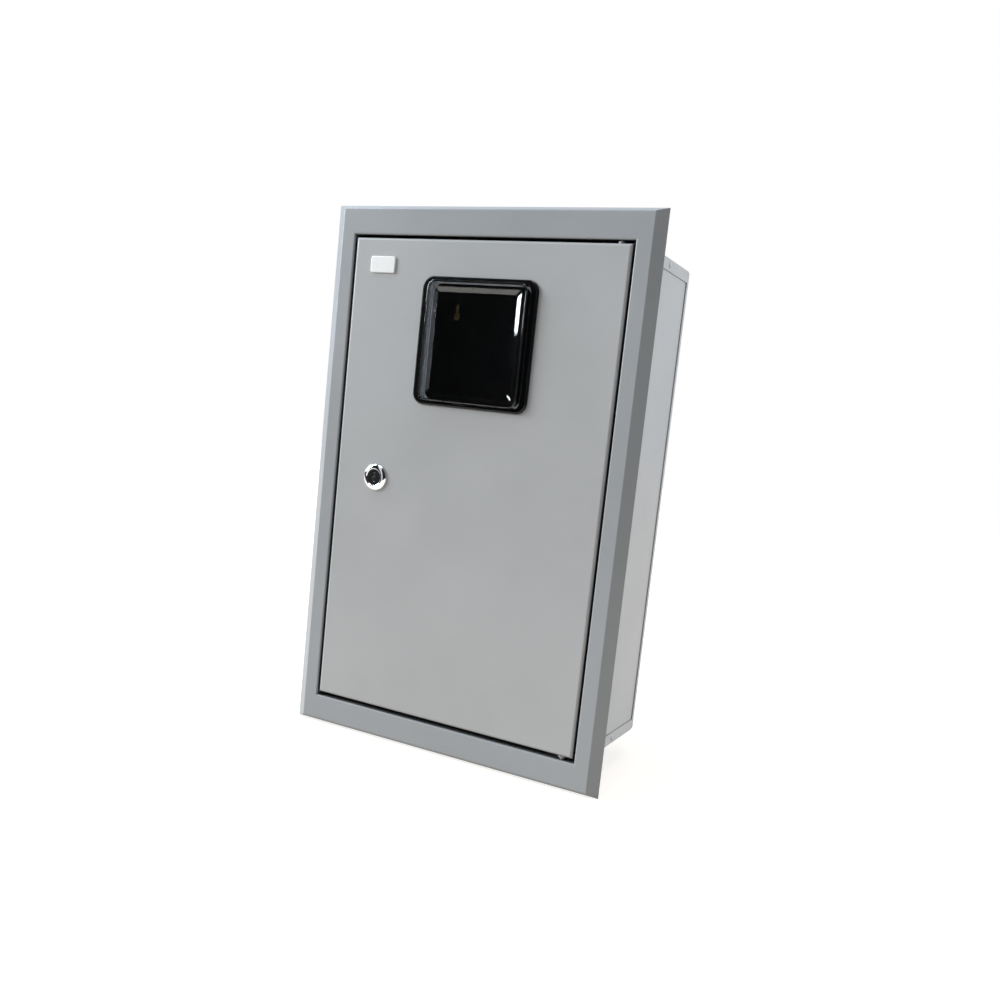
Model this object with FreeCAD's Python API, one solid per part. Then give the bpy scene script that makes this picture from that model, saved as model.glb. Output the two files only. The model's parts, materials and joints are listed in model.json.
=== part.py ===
import FreeCAD, Part
import math
import os

# Recessed electric meter box: a sheet steel body that sits in a wall, a flared front frame,
# and a hinged door with a meter window and a cam lock.
# Millimetres. +X is right, +Y goes into the wall and +Z is up. The origin is the centre of
# the wall fixing holes, on the outer face of the back panel.

# Front frame
face_width = 350.0
face_height = 556.0
box_depth = 158.0
front_sheet = 1.2
side_border = 16.2
end_border = 26.5
side_flare = 11.0
end_flare = 4.0
flare_depth = 7.0
flare_bend = 0.8
collar_bend = 0.5
collar_land = 2.0
rebate_depth = 17.0
lip_width = 10.0
lip_bend = 0.8
mitre_slit = 0.6

# Body behind the frame
body_sheet = 1.0
tight_bend = 0.3
nest_gap = 0.2
cap_fold = 12.7
rear_fold = 6.3
corner_notch = 2.0
wall_hole_inset_side = 42.2
wall_hole_inset_end = 44.9
wall_hole_radius = 3.5
rivet_radius = 1.6
rivet_head_radius = 3.2
rivet_head_height = 1.1
rivet_upset = 2.3
rivet_depths = (34.0, 92.0)

# Cable entries in the top and bottom caps
entry_radius = 12.5
entry_spacing = 90.0
entry_back = 52.0
grommet_bore = 8.0
grommet_rim = 3.0
grommet_groove = 0.1
grommet_bevel = 1.0
knockout_radius = 10.0
knockout_slot = 0.8
knockout_bridge = 3.0
knockout_spread = 1.2

# Door
door_gap_side = 2.6
door_gap_top = 3.0
door_gap_bottom = 4.5
door_depth = 13.0
door_bend = 1.8
hinge_inset = 13.0
hinge_depth = 6.5
swing_room = 1.5
hinge_pin_radius = 2.5
hinge_shoulder_radius = 4.5
hinge_shoulder_height = 1.8
hinge_play = 0.2
hinge_plate_sheet = 2.5
hinge_plate_reach = 22.0
hinge_plate_setback = 0.5
pin_clearance = 0.05
pin_tip = 1.0
pin_head_step = 0.6
pin_head_height = 3.0
seal_width = 7.0
seal_gap = 0.2

# Window in the door
window_x = -0.85
window_drop = 102.1
pane_width = 117.0
pane_height = 123.5
pane_corner = 9.0
pane_draft = 1.5
pane_rise = 8.0
pane_edge = 1.4
pane_sheet = 1.6
pane_rim = 1.2
pane_band = 4.9
pane_fall = 1.0
pane_inner_fall = 1.7
pane_step = 0.3
pane_inner_corner = 3.0
pane_clearance = 0.15
flange_overlap = 9.0
flange_corner = 11.0
gasket_lip_side = 7.8
gasket_lip_end = 3.05
gasket_corner = 12.0
gasket_proud = 2.8
gasket_edge = 1.8
cutout_margin = 2.0
retainer_sheet = 1.5
retainer_inner = 3.0
window_stud_radius = 2.0
window_stud_inset = 4.4

# Badge, left blank
badge_width = 30.5
badge_height = 17.0
badge_thickness = 1.8
badge_corner = 2.2
badge_edge = 1.0
badge_inset_side = 37.0
badge_inset_top = 27.7

# Cam lock
lock_inset = 50.2
lock_z = -0.3
bezel_radius = 14.2
bezel_height = 3.6
bezel_edge = 0.8
bezel_chamfer = 0.8
barrel_radius = 11.2
barrel_flat = 10.0
barrel_length = 16.6
plug_radius = 8.6
plug_recess = 0.9
key_slot_width = 2.0
key_slot_length = 9.0
key_slot_depth = 5.0
lock_nut_flats = 28.0
lock_nut_height = 4.0
cam_square = 7.0
cam_sheet = 3.0
cam_width = 14.0
cam_reach = 46.0
cam_gap = 0.5
cam_screw_radius = 4.5
cam_screw_height = 3.2
cam_screw_room = 0.5
cam_washer = 1.0

# Meter mounting plate and its cross rails
plate_side_gap = 35.2
plate_top_gap = 16.5
plate_to_cover = 12.0
plate_thickness = 4.0
plate_depth = 90.0
plate_corner = 5.0
plate_screw_inset = 13.0
keyhole_spacing = 160.0
keyhole_drop = 51.0
keyhole_radius = 4.8
keyhole_slot = 3.1
keyhole_rise = 11.0
meter_slot_spacing = 155.0
meter_slot_rise = 50.0
meter_slot_radius = 2.6
meter_slot_length = 22.0
rail_height = 26.0
rail_flange = 12.0
rail_sheet = 1.5
rail_tab = 20.0
screw_radius = 2.0
screw_head_radius = 4.0
screw_head_height = 2.4
screw_play = 0.3
nut_flats = 7.0
nut_height = 3.2
thread_end = 1.5
screw_dome = 1.4
cross_arm = 2.2
cross_web = 0.45
cross_depth = 1.2

# Modular rail for the breakers
din_rise = 114.0
din_height = 35.0
din_hat = 25.0
din_depth = 7.5
din_sheet = 1.0
din_pitch = 25.0
din_slots = 10
din_slot_length = 15.0
din_slot_radius = 3.1
din_end = 12.0
bracket_sheet = 2.0
bracket_height = 34.0
bracket_tab = 26.0

# Breaker cover
cover_depth = 42.0
cover_to_rail = 45.0
cover_side_gap = 3.0
cover_end_gap = 7.5
cover_height = 222.0
cover_fold = 12.0
cover_bend = 0.8
module_pitch = 17.5
module_count = 12
module_slot_height = 46.0
module_slot_play = 6.0
module_slot_corner = 2.0
cover_tab_width = 20.0
cover_tab_reach = 24.0
cover_tab_leg = 22.0
cover_screw_inset = 14.0
cover_screw_end = 20.0

# Terminal bars
bar_way_pitch = 10.0
bar_ways = 8
bar_end = 11.0
bar_height = 9.0
bar_thickness = 7.0
bar_bore = 2.6
bar_screw_radius = 1.9
bar_screw_head = 2.8
bar_screw_height = 2.2
bar_screw_slot = 0.8
bar_edge = 0.4
neutral_bar_rise = 182.0
earth_bar_rise = 36.0
standoff_flats = 15.0
standoff_groove = 1.3
standoff_rib = 3.0
standoff_ribs = 4
standoff_thread = 8.0
standoff_length = 24.0
spacer_flats = 10.0

# Earth studs
stud_radius = 3.0
stud_length = 22.0
stud_nut_flats = 10.0
stud_nut_height = 5.0
stud_washer_radius = 6.0
stud_washer = 1.2
stud_seat = 0.1
stud_tip = 1.0
earth_stud_inset = 40.2
earth_stud_rise = 79.0
door_stud_inset = 44.2
door_stud_rise = 42.0
door_stud_length = 14.0

V = FreeCAD.Vector
same_place = 1e-6

# Derived places
front_y = -box_depth
opening_width = face_width - 2 * side_border
opening_height = face_height - 2 * end_border
wall_inner_x = opening_width / 2 + front_sheet + nest_gap
wall_outer_x = wall_inner_x + body_sheet
cap_inner_z = opening_height / 2 + front_sheet + nest_gap
cap_outer_z = cap_inner_z + body_sheet
shell_outer_x = wall_outer_x + body_sheet
shell_outer_z = cap_outer_z + body_sheet
wall_front_y = front_y + front_sheet + collar_bend
wall_rear_y = -(body_sheet + tight_bend)
panel_inner_y = -body_sheet

door_left = -opening_width / 2 + door_gap_side
door_right = opening_width / 2 - door_gap_side
door_bottom = -opening_height / 2 + door_gap_bottom
door_top = opening_height / 2 - door_gap_top
door_inner_y = front_y + front_sheet
door_edge_y = front_y + door_depth
hinge_x = door_right - hinge_inset
hinge_y = front_y + hinge_depth
swing_radius = math.hypot(hinge_inset, max(hinge_depth, door_depth - hinge_depth)) + swing_room
lip_y = front_y + rebate_depth
lip_back_y = lip_y + front_sheet
bend_margin = collar_bend + front_sheet + collar_land

window_z = door_top - window_drop
gasket_width = pane_width + 2 * gasket_lip_side
gasket_height = pane_height + 2 * gasket_lip_end
badge_x = door_left + badge_inset_side
badge_z = door_top - badge_inset_top
lock_x = door_left + lock_inset
door_stud_x = door_right - door_stud_inset
door_stud_z = door_bottom + door_stud_rise

flange_y = door_inner_y + pane_clearance
retainer_y = flange_y + pane_sheet
cam_y = lip_back_y + cam_gap
cover_bottom = cover_end_gap - opening_height / 2
cover_top = cover_bottom + cover_height
plate_front_y = front_y + plate_depth
plate_back_y = plate_front_y + plate_thickness
plate_low = cover_top + plate_to_cover
plate_high = opening_height / 2 - plate_top_gap
plate_height = plate_high - plate_low
plate_width = 2 * (wall_inner_x - plate_side_gap)
plate_x = window_x
plate_z = (plate_low + plate_high) / 2
keyhole_z = plate_high - keyhole_drop
meter_slot_z = plate_low + meter_slot_rise
upper_rail_z = keyhole_z + keyhole_rise / 2
lower_rail_z = plate_low + rail_height / 2 + rail_sheet
cover_y = front_y + cover_depth
din_front_y = cover_y + cover_to_rail
din_back_y = din_front_y + din_depth
din_z = cover_bottom + din_rise
din_length = (din_slots - 1) * din_pitch + 2 * din_end
last_slot_x = (din_slots - 1) * din_pitch / 2
bar_half = (bar_ways - 1) * bar_way_pitch / 2 + bar_way_pitch
bar_back_y = panel_inner_y - standoff_length
neutral_bar_z = cover_bottom + neutral_bar_rise
earth_bar_z = cover_bottom + earth_bar_rise
earth_stud_x = earth_stud_inset - wall_inner_x
earth_stud_z = cover_bottom + earth_stud_rise


def unit(start, end):
    length = math.hypot(end[0] - start[0], end[1] - start[1])
    return ((end[0] - start[0]) / length, (end[1] - start[1]) / length)


def offset_path(path, distance):
    """The path moved to its left by a distance, with its corners kept sharp."""
    moved = []
    for index, point in enumerate(path):
        ahead = unit(point, path[index + 1]) if index + 1 < len(path) else None
        behind = unit(path[index - 1], point) if index > 0 else None
        ahead = ahead or behind
        behind = behind or ahead
        share = distance / (1 + ahead[0] * behind[0] + ahead[1] * behind[1])
        moved.append((point[0] - (ahead[1] + behind[1]) * share,
                      point[1] + (ahead[0] + behind[0]) * share))
    return moved


def rounded_run(path, radii, place):
    """Edges along a path, with an arc of the given radius at each inner point."""
    edges = []
    start = path[0]
    for index in range(1, len(path) - 1):
        corner = path[index]
        back = unit(corner, path[index - 1])
        ahead = unit(corner, path[index + 1])
        half = math.acos(back[0] * ahead[0] + back[1] * ahead[1]) / 2
        radius = radii[index - 1]
        reach = radius / math.tan(half)
        middle = unit((0, 0), (back[0] + ahead[0], back[1] + ahead[1]))
        depth = radius / math.sin(half) - radius
        first = (corner[0] + back[0] * reach, corner[1] + back[1] * reach)
        crown = (corner[0] + middle[0] * depth, corner[1] + middle[1] * depth)
        last = (corner[0] + ahead[0] * reach, corner[1] + ahead[1] * reach)
        edges.append(Part.LineSegment(place(*start), place(*first)).toShape())
        edges.append(Part.Arc(place(*first), place(*crown), place(*last)).toShape())
        start = last
    edges.append(Part.LineSegment(place(*start), place(*path[-1])).toShape())
    return edges


def sheet_face(path, thickness, bends, place):
    """Section of a folded sheet that lies to the left of its path. Bends are inside radii."""
    path_radii = []
    other_radii = []
    for index in range(1, len(path) - 1):
        ahead = unit(path[index], path[index + 1])
        behind = unit(path[index - 1], path[index])
        turns_left = behind[0] * ahead[1] - behind[1] * ahead[0] > 0
        bend = bends[index - 1]
        path_radii.append(bend if turns_left is False else bend + thickness)
        other_radii.append(bend + thickness if turns_left is False else bend)
    other = offset_path(path, thickness)
    edges = rounded_run(path, path_radii, place)
    edges.append(Part.LineSegment(place(*path[-1]), place(*other[-1])).toShape())
    edges += rounded_run(other[::-1], other_radii[::-1], place)
    edges.append(Part.LineSegment(place(*other[0]), place(*path[0])).toShape())
    return Part.Face(Part.Wire(Part.__sortEdges__(edges)))


def filled_face(path, radii, place):
    """Face inside a path whose inner points are rounded and whose ends are joined."""
    edges = rounded_run(path, radii, place)
    edges.append(Part.LineSegment(place(*path[-1]), place(*path[0])).toShape())
    return Part.Face(Part.Wire(Part.__sortEdges__(edges)))


def block(x0, x1, y0, y1, z0, z1):
    return Part.makeBox(x1 - x0, y1 - y0, z1 - z0, V(x0, y0, z0))


def rod_y(radius, x, z, y0, y1):
    return Part.makeCylinder(radius, y1 - y0, V(x, y0, z), V(0, 1, 0))


def rod_z(radius, x, y, z0, z1):
    return Part.makeCylinder(radius, z1 - z0, V(x, y, z0), V(0, 0, 1))


def rod_x(radius, y, z, x0, x1):
    return Part.makeCylinder(radius, x1 - x0, V(x0, y, z), V(1, 0, 0))


def hexagon_y(flats, x, z, y0, y1):
    radius = flats / math.sqrt(3)
    points = []
    for step in range(7):
        angle = math.radians(60 * step)
        points.append(V(x + radius * math.cos(angle), y0, z + radius * math.sin(angle)))
    return Part.Face(Part.makePolygon(points)).extrude(V(0, y1 - y0, 0))


def rounded_wire(width, height, radius, x, z, y):
    """Rounded rectangle across the Y axis."""
    w = width / 2
    h = height / 2
    path = [(0, h), (w, h), (w, -h), (-w, -h), (-w, h), (0, h)]
    edges = rounded_run(path, [radius] * 4, lambda a, b: V(x + a, y, z + b))
    return Part.Wire(Part.__sortEdges__(edges))


def rounded_plate(width, height, radius, x, z, y0, y1):
    return Part.Face(rounded_wire(width, height, radius, x, z, y0)).extrude(V(0, y1 - y0, 0))


def slot_y(length, radius, x, z, y0, y1):
    """Slot with round ends that runs along X."""
    half = length / 2 - radius
    bar = block(x - half, x + half, y0, y1, z - radius, z + radius)
    return bar.fuse([rod_y(radius, x - half, z, y0, y1), rod_y(radius, x + half, z, y0, y1)]).removeSplitter()


def fused(shapes):
    return shapes[0].fuse(shapes[1:]).removeSplitter()


def folded_pan(x0, x1, z0, z1, web_y, edge_y, thickness, bend):
    """Tray of folded sheet: a web across Y with four flanges and mitred corners."""
    side = 1 if edge_y > web_y else -1

    def filled(left, right, low, high, front, back, radius):
        across = filled_face([(left, back), (left, front), (right, front), (right, back)],
                             [radius, radius], lambda a, b: V(a, b, low))
        upward = filled_face([(low, back), (low, front), (high, front), (high, back)],
                             [radius, radius], lambda a, b: V(left, b, a))
        return across.extrude(V(0, 0, high - low)).common(upward.extrude(V(right - left, 0, 0)))

    outer = filled(x0, x1, z0, z1, web_y, edge_y, bend + thickness)
    inner = filled(x0 + thickness, x1 - thickness, z0 + thickness, z1 - thickness,
                   web_y + side * thickness, edge_y + side, bend)
    return outer.cut(inner)


def flared_tray():
    """Face of the front frame with its four flared edges, before the opening is cut."""
    reach = 2.0

    def filled(half_x, half_z, shift, radius, stretch):
        def section(half, flare, place):
            path = [(-half - flare * stretch, flare_depth * stretch), (-half, 0),
                    (half, 0), (half + flare * stretch, flare_depth * stretch)]
            return filled_face(offset_path(path, shift), [radius, radius], place)

        tall = half_z + end_flare * reach + 1
        wide = half_x + side_flare * reach + 1
        across = section(half_x, side_flare, lambda a, b: V(a, front_y + b, -tall))
        upward = section(half_z, end_flare, lambda a, b: V(-wide, front_y + b, a))
        return across.extrude(V(0, 0, 2 * tall)).common(upward.extrude(V(2 * wide, 0, 0)))

    half_x = face_width / 2
    half_z = face_height / 2
    outer = filled(half_x, half_z, 0, flare_bend + front_sheet, 1.0)
    inner = filled(half_x, half_z, front_sheet, flare_bend, reach)
    return outer.cut(inner)


def frame_collar():
    """Collar around the door: face strip, return and door lip, mitred at its corners."""
    sides = []
    for across, run, quarter in ((opening_width / 2, opening_height / 2, 0),
                                 (opening_height / 2, opening_width / 2, 90),
                                 (opening_width / 2, opening_height / 2, 180),
                                 (opening_height / 2, opening_width / 2, 270)):
        path = [(across - lip_width, rebate_depth), (across, rebate_depth),
                (across, 0), (across + bend_margin, 0)]
        section = sheet_face(path, front_sheet, [lip_bend, collar_bend],
                             lambda a, b: V(a, front_y + b, -run - bend_margin))
        member = section.extrude(V(0, 0, 2 * (run + bend_margin)))
        inner = across - lip_width - 1
        short = run - lip_width - 1
        wide = across + bend_margin
        tall = run + bend_margin
        corners = [V(wide, front_y, tall), V(inner, front_y, short), V(inner, front_y, -short),
                   V(wide, front_y, -tall), V(wide, front_y, tall)]
        deep = V(0, rebate_depth + 2 * front_sheet, 0)
        footprint = Part.Face(Part.makePolygon(corners)).extrude(deep)
        member = member.common(footprint)
        member.rotate(V(0, 0, 0), V(0, 1, 0), quarter)
        sides.append(member)
    return fused(sides)


def make_front_frame():
    face = flared_tray()
    wide = opening_width / 2 + bend_margin
    high = opening_height / 2 + bend_margin
    face = face.cut(block(-wide, wide, front_y - 1, front_y + front_sheet + 1, -high, high))
    frame = fused([face, frame_collar()])
    lip_start = lip_y - lip_bend
    lip_end = lip_back_y + 1
    tall = opening_height / 2 + front_sheet + 1
    frame = frame.cut(block(hinge_x - swing_radius, opening_width / 2 + front_sheet + 1,
                            lip_start, lip_end, -tall, tall))
    for side in (-1, 1):
        slit = block(-lip_width * 2, 0.0, lip_start, lip_end, -mitre_slit / 2, mitre_slit / 2)
        slit.rotate(V(0, 0, 0), V(0, 1, 0), -side * 135)
        slit.translate(V(-opening_width / 2, 0, side * opening_height / 2))
        frame = frame.cut(slit)
    hole = hinge_pin_radius + pin_clearance
    return frame.cut(rod_z(hole, hinge_x, hinge_y, -tall, tall))


def rivet_places():
    """Centres of the rivets that join the caps to the side walls."""
    height = cap_outer_z - cap_fold / 2
    return [(side, front_y + depth, level * height)
            for side in (-1, 1) for depth in rivet_depths for level in (-1, 1)]


def make_side_wall(side):
    edges = sorted((side * wall_inner_x, side * wall_outer_x))
    tall = cap_inner_z - tight_bend
    wall = block(edges[0], edges[1], wall_front_y, wall_rear_y, -tall, tall)
    for place in rivet_places():
        if place[0] == side:
            wall = wall.cut(rod_x(rivet_radius + pin_clearance, place[1], place[2],
                                  edges[0] - 1, edges[1] + 1))
    return wall


def knockout_ring(x, y, z0, z1):
    """Punched ring of a knockout, held by two bridges."""
    ring = rod_z(knockout_radius, x, y, z0, z1).cut(rod_z(knockout_radius - knockout_slot, x, y, z0, z1))
    half = knockout_bridge / 2
    return ring.cut(block(x - half, x + half, y - 2 * knockout_radius, y + 2 * knockout_radius, z0, z1))


def entry_places():
    return [(side * entry_spacing / 2, -entry_back) for side in (-1, 1)]


def knockout_places():
    return [(side * entry_spacing * knockout_spread, -entry_back) for side in (-1, 0, 1)]


def make_cap(level):
    """Top or bottom cap: a web with two side flanges that lap over the side walls."""
    low = cap_outer_z - cap_fold
    path = [(shell_outer_x, low), (shell_outer_x, cap_outer_z),
            (-shell_outer_x, cap_outer_z), (-shell_outer_x, low)]
    section = sheet_face(path, body_sheet, [tight_bend, tight_bend],
                         lambda a, b: V(a, wall_front_y, b))
    cap = section.extrude(V(0, wall_rear_y - wall_front_y, 0))
    for side in (-1, 1):
        edges = sorted((side * wall_outer_x, side * (shell_outer_x + 1)))
        cap = cap.cut(block(edges[0], edges[1], -rear_fold - nest_gap, 1, low - 1, cap_outer_z + 1))
    for x, y in entry_places():
        cap = cap.cut(rod_z(entry_radius, x, y, cap_inner_z - 1, cap_outer_z + 1))
    for x, y in knockout_places():
        cap = cap.cut(knockout_ring(x, y, cap_inner_z - 1, cap_outer_z + 1))
    for place in rivet_places():
        if place[2] > 0:
            ends = sorted((place[0] * (wall_outer_x - 1), place[0] * (shell_outer_x + 1)))
            cap = cap.cut(rod_x(rivet_radius + pin_clearance, place[1], place[2], ends[0], ends[1]))
    if level < 0:
        cap = cap.mirror(V(0, 0, 0), V(0, 0, 1))
    return cap


def make_back_panel():
    panel = folded_pan(-shell_outer_x, shell_outer_x, -shell_outer_z, shell_outer_z,
                       0.0, -rear_fold, body_sheet, tight_bend)
    notch = corner_notch + body_sheet
    for side in (-1, 1):
        for level in (-1, 1):
            xs = sorted((side * (shell_outer_x - notch), side * (shell_outer_x + 1)))
            zs = sorted((level * (shell_outer_z - notch), level * (shell_outer_z + 1)))
            panel = panel.cut(block(xs[0], xs[1], -rear_fold - 1, 1, zs[0], zs[1]))
            panel = panel.cut(rod_y(wall_hole_radius, side * (shell_outer_x - wall_hole_inset_side),
                                    level * (shell_outer_z - wall_hole_inset_end), -body_sheet - 1, 1))
    return panel


def dome_middle(rise, reach):
    """Half way down a spherical dome: its distance from the axis and its height."""
    radius = (rise * rise + reach * reach) / (2 * rise)
    angle = math.asin(reach / radius) / 2
    return (radius * math.sin(angle), radius * math.cos(angle) - radius + rise)


def make_body_rivets():
    """Blind rivets: a domed head outside, a shank, and the upset end inside."""
    rivets = []
    out, rise = dome_middle(rivet_head_height, rivet_head_radius)
    for side, y, z in rivet_places():
        corners = [(wall_inner_x - rivet_head_height, 0), (wall_inner_x - rivet_head_height, rivet_upset),
                   (wall_inner_x, rivet_upset), (wall_inner_x, rivet_radius),
                   (shell_outer_x, rivet_radius), (shell_outer_x, rivet_head_radius)]
        points = [V(side * x, radius, 0) for x, radius in corners]
        crown = V(side * (shell_outer_x + rise), out, 0)
        tip = V(side * (shell_outer_x + rivet_head_height), 0, 0)
        outline = Part.makePolygon(points).Edges
        outline.append(Part.Arc(points[-1], crown, tip).toShape())
        outline.append(Part.LineSegment(tip, points[0]).toShape())
        rivet = Part.Face(Part.Wire(outline)).revolve(V(0, 0, 0), V(side, 0, 0), 360)
        rivet.translate(V(0, y, z))
        rivets.append(rivet)
    return Part.makeCompound(rivets)


def make_cable_grommets():
    """Rubber grommets in the cap holes: two rims with a groove that holds the sheet."""
    grommets = []
    outer = entry_radius + grommet_rim
    neck = entry_radius - grommet_groove
    low = cap_inner_z - grommet_rim - grommet_groove
    high = cap_outer_z + grommet_rim + grommet_groove
    points = [(grommet_bore, low), (outer, low + grommet_bevel), (outer, cap_inner_z - grommet_groove),
              (neck, cap_inner_z - grommet_groove), (neck, cap_outer_z + grommet_groove),
              (outer, cap_outer_z + grommet_groove), (outer, high - grommet_bevel),
              (grommet_bore + grommet_bevel, high), (grommet_bore, high - grommet_bevel),
              (grommet_bore, low)]
    section = Part.Face(Part.makePolygon([V(r, 0, z) for r, z in points]))
    for x, y in entry_places():
        for level in (-1, 1):
            ring = section.revolve(V(0, 0, 0), V(0, 0, 1), 360)
            if level < 0:
                ring = ring.mirror(V(0, 0, 0), V(0, 0, 1))
            ring.translate(V(x, y, 0))
            grommets.append(ring)
    return Part.makeCompound(grommets)


def make_door_seal():
    """Foam strip on the frame's lip, on the lock side and along the top and bottom."""
    front = door_edge_y + seal_gap
    inset = (lip_width - seal_width) / 2
    outer_x = opening_width / 2 - lip_bend - inset / 2
    outer_z = opening_height / 2 - lip_bend - inset / 2
    end_x = hinge_x - swing_radius - 1
    ring = block(-outer_x, end_x, front, lip_y, -outer_z, outer_z)
    return ring.cut(block(-outer_x + seal_width, end_x + 1, front - 1, lip_y + 1,
                          -outer_z + seal_width, outer_z - seal_width))


def make_lower_hinge_pin():
    """Pin fixed in the frame, with the shoulder that carries the door."""
    floor = -opening_height / 2
    pin = rod_z(hinge_pin_radius, hinge_x, hinge_y, floor - front_sheet,
                door_bottom + front_sheet + hinge_plate_sheet + pin_tip)
    seat = door_bottom - hinge_play
    shoulder = rod_z(hinge_shoulder_radius, hinge_x, hinge_y, seat - hinge_shoulder_height, seat)
    tip = Part.makeCone(hinge_pin_radius, hinge_pin_radius - pin_tip, pin_tip,
                        V(hinge_x, hinge_y, pin.BoundBox.ZMax), V(0, 0, 1))
    return fused([pin, shoulder, tip])


def make_upper_hinge_pin():
    """Headed pin in the door, which turns in the frame's upper return."""
    seat = door_top - front_sheet - hinge_plate_sheet
    pin = rod_z(hinge_pin_radius, hinge_x, hinge_y, seat, opening_height / 2 + front_sheet)
    wide = hinge_shoulder_radius - pin_head_step
    head = rod_z(wide, hinge_x, hinge_y, seat - pin_head_height, seat)
    collar = rod_z(wide, hinge_x, hinge_y, door_top, door_top + hinge_shoulder_height)
    return fused([pin, head, collar])


def make_hinge_plates():
    """Thick plates inside the door's folds, where the hinge pins pass."""
    near = door_inner_y + door_bend
    far = door_edge_y - hinge_plate_setback
    plates = []
    for low in (door_bottom + front_sheet, door_top - front_sheet - hinge_plate_sheet):
        plate = block(hinge_x - hinge_plate_reach, door_right - front_sheet - door_bend,
                      near, far, low, low + hinge_plate_sheet)
        hole = rod_z(hinge_pin_radius + pin_clearance, hinge_x, hinge_y, low - 1,
                     low + hinge_plate_sheet + 1)
        plates.append(plate.cut(hole))
    return Part.makeCompound(plates)


def lock_hole(clearance, y0, y1):
    """Round hole with two flats that keeps the lock barrel from turning."""
    hole = rod_y(barrel_radius + clearance, lock_x, lock_z, y0, y1)
    flat = barrel_flat + clearance
    wide = barrel_radius * 2
    return hole.common(block(lock_x - wide, lock_x + wide, y0, y1, lock_z - flat, lock_z + flat))


def window_stud_places():
    across = pane_width / 2 + window_stud_inset
    up = pane_height / 2 + window_stud_inset
    return [(window_x + side * across, window_z + level * up) for side in (-1, 1) for level in (-1, 1)]


def make_door_panel():
    door = folded_pan(door_left, door_right, door_bottom, door_top, front_y, door_edge_y,
                      front_sheet, door_bend)
    cutout = rounded_plate(pane_width + 2 * cutout_margin, pane_height + 2 * cutout_margin,
                           pane_corner + cutout_margin, window_x, window_z, front_y - 1, door_inner_y + 1)
    door = door.cut(cutout)
    door = door.cut(lock_hole(pin_clearance, front_y - 1, door_inner_y + 1))
    tall = opening_height
    return door.cut(rod_z(hinge_pin_radius + pin_clearance, hinge_x, hinge_y, -tall, tall))


def rim_edges(solid, y):
    """Edges of a solid that lie in one plane across Y."""
    return [one for one in solid.Edges
            if abs(one.BoundBox.YMin - y) < same_place and abs(one.BoundBox.YMax - y) < same_place]


def softened_plate(width, height, corner, x, z, front, back, edge):
    """Rounded plate whose front edges are rounded too."""
    plate = rounded_plate(width, height, corner, x, z, front, back)
    return plate.makeFillet(edge, rim_edges(plate, front))


def make_window_gasket():
    """Rubber ring with a rounded lip on the door's face and a sleeve through the cutout."""
    lip_front = front_y - gasket_proud
    lip = softened_plate(gasket_width, gasket_height, gasket_corner, window_x, window_z,
                         lip_front, front_y, gasket_edge)
    margin = cutout_margin - pane_clearance
    sleeve = rounded_plate(pane_width + 2 * margin, pane_height + 2 * margin,
                           pane_corner + margin, window_x, window_z, front_y,
                           flange_y - pane_clearance / 3)
    hole = rounded_plate(pane_width + 2 * pane_clearance, pane_height + 2 * pane_clearance,
                         pane_corner + pane_clearance, window_x, window_z, lip_front - 1, flange_y + 1)
    return fused([lip, sleeve]).cut(hole)


def pane_skin(inset):
    """Filled form of the pane: a raised rim and two bands that slope down to a flat middle."""
    def ring(step_in, y):
        corner = max(pane_corner - step_in, pane_inner_corner)
        return rounded_wire(pane_width - 2 * step_in, pane_height - 2 * step_in, corner,
                            window_x, window_z, y)

    crest_y = front_y - pane_rise + inset
    base_y = flange_y + inset * 1.5
    form = Part.makeLoft([ring(inset, base_y), ring(inset + pane_draft, crest_y)], True, True)
    if inset < pane_edge:
        form = form.makeFillet(pane_edge - inset, rim_edges(form, crest_y))
    band = pane_draft + pane_rim
    inner_band = band + pane_band
    band_end = crest_y + pane_fall
    outer = [ring(band, crest_y), ring(inner_band, band_end)]
    inner = [ring(inner_band, band_end), ring(inner_band, band_end + pane_step),
             ring(inner_band + pane_band, band_end + pane_step + pane_inner_fall)]
    return form.cut(Part.makeLoft(outer, True, True)).cut(Part.makeLoft(inner, True, True))


def make_window_pane():
    """Clear tray, raised towards the front, with a flange behind the door."""
    flange = rounded_plate(pane_width + 2 * flange_overlap, pane_height + 2 * flange_overlap,
                           flange_corner, window_x, window_z, flange_y, flange_y + pane_sheet)
    pane = fused([flange, pane_skin(0)]).cut(pane_skin(pane_sheet))
    for x, z in window_stud_places():
        pane = pane.cut(rod_y(window_stud_radius + screw_play, x, z, flange_y - 1, retainer_y + 1))
    return pane


def make_window_retainer():
    """Steel frame that clamps the pane's flange, held by nuts on the door's studs."""
    frame = rounded_plate(pane_width + 2 * flange_overlap, pane_height + 2 * flange_overlap,
                          flange_corner, window_x, window_z, retainer_y, retainer_y + retainer_sheet)
    hole = rounded_plate(pane_width - 2 * retainer_inner, pane_height - 2 * retainer_inner,
                         pane_corner, window_x, window_z, retainer_y - 1, retainer_y + retainer_sheet + 1)
    frame = frame.cut(hole)
    for x, z in window_stud_places():
        frame = frame.cut(rod_y(window_stud_radius + screw_play, x, z, retainer_y - 1,
                                retainer_y + retainer_sheet + 1))
    return frame


def make_window_studs():
    end = retainer_y + retainer_sheet + nut_height + thread_end
    return Part.makeCompound([rod_y(window_stud_radius, x, z, door_inner_y, end)
                              for x, z in window_stud_places()])


def nut_on_y(flats, bore, x, z, y0, y1):
    return hexagon_y(flats, x, z, y0, y1).cut(rod_y(bore, x, z, y0 - 1, y1 + 1))


def make_window_nuts():
    start = retainer_y + retainer_sheet
    return Part.makeCompound([nut_on_y(nut_flats, window_stud_radius + pin_clearance, x, z,
                                       start, start + nut_height) for x, z in window_stud_places()])


def make_badge():
    """Blank plate with rounded front edges."""
    return softened_plate(badge_width, badge_height, badge_corner, badge_x, badge_z,
                          front_y - badge_thickness, front_y, badge_edge)


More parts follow.
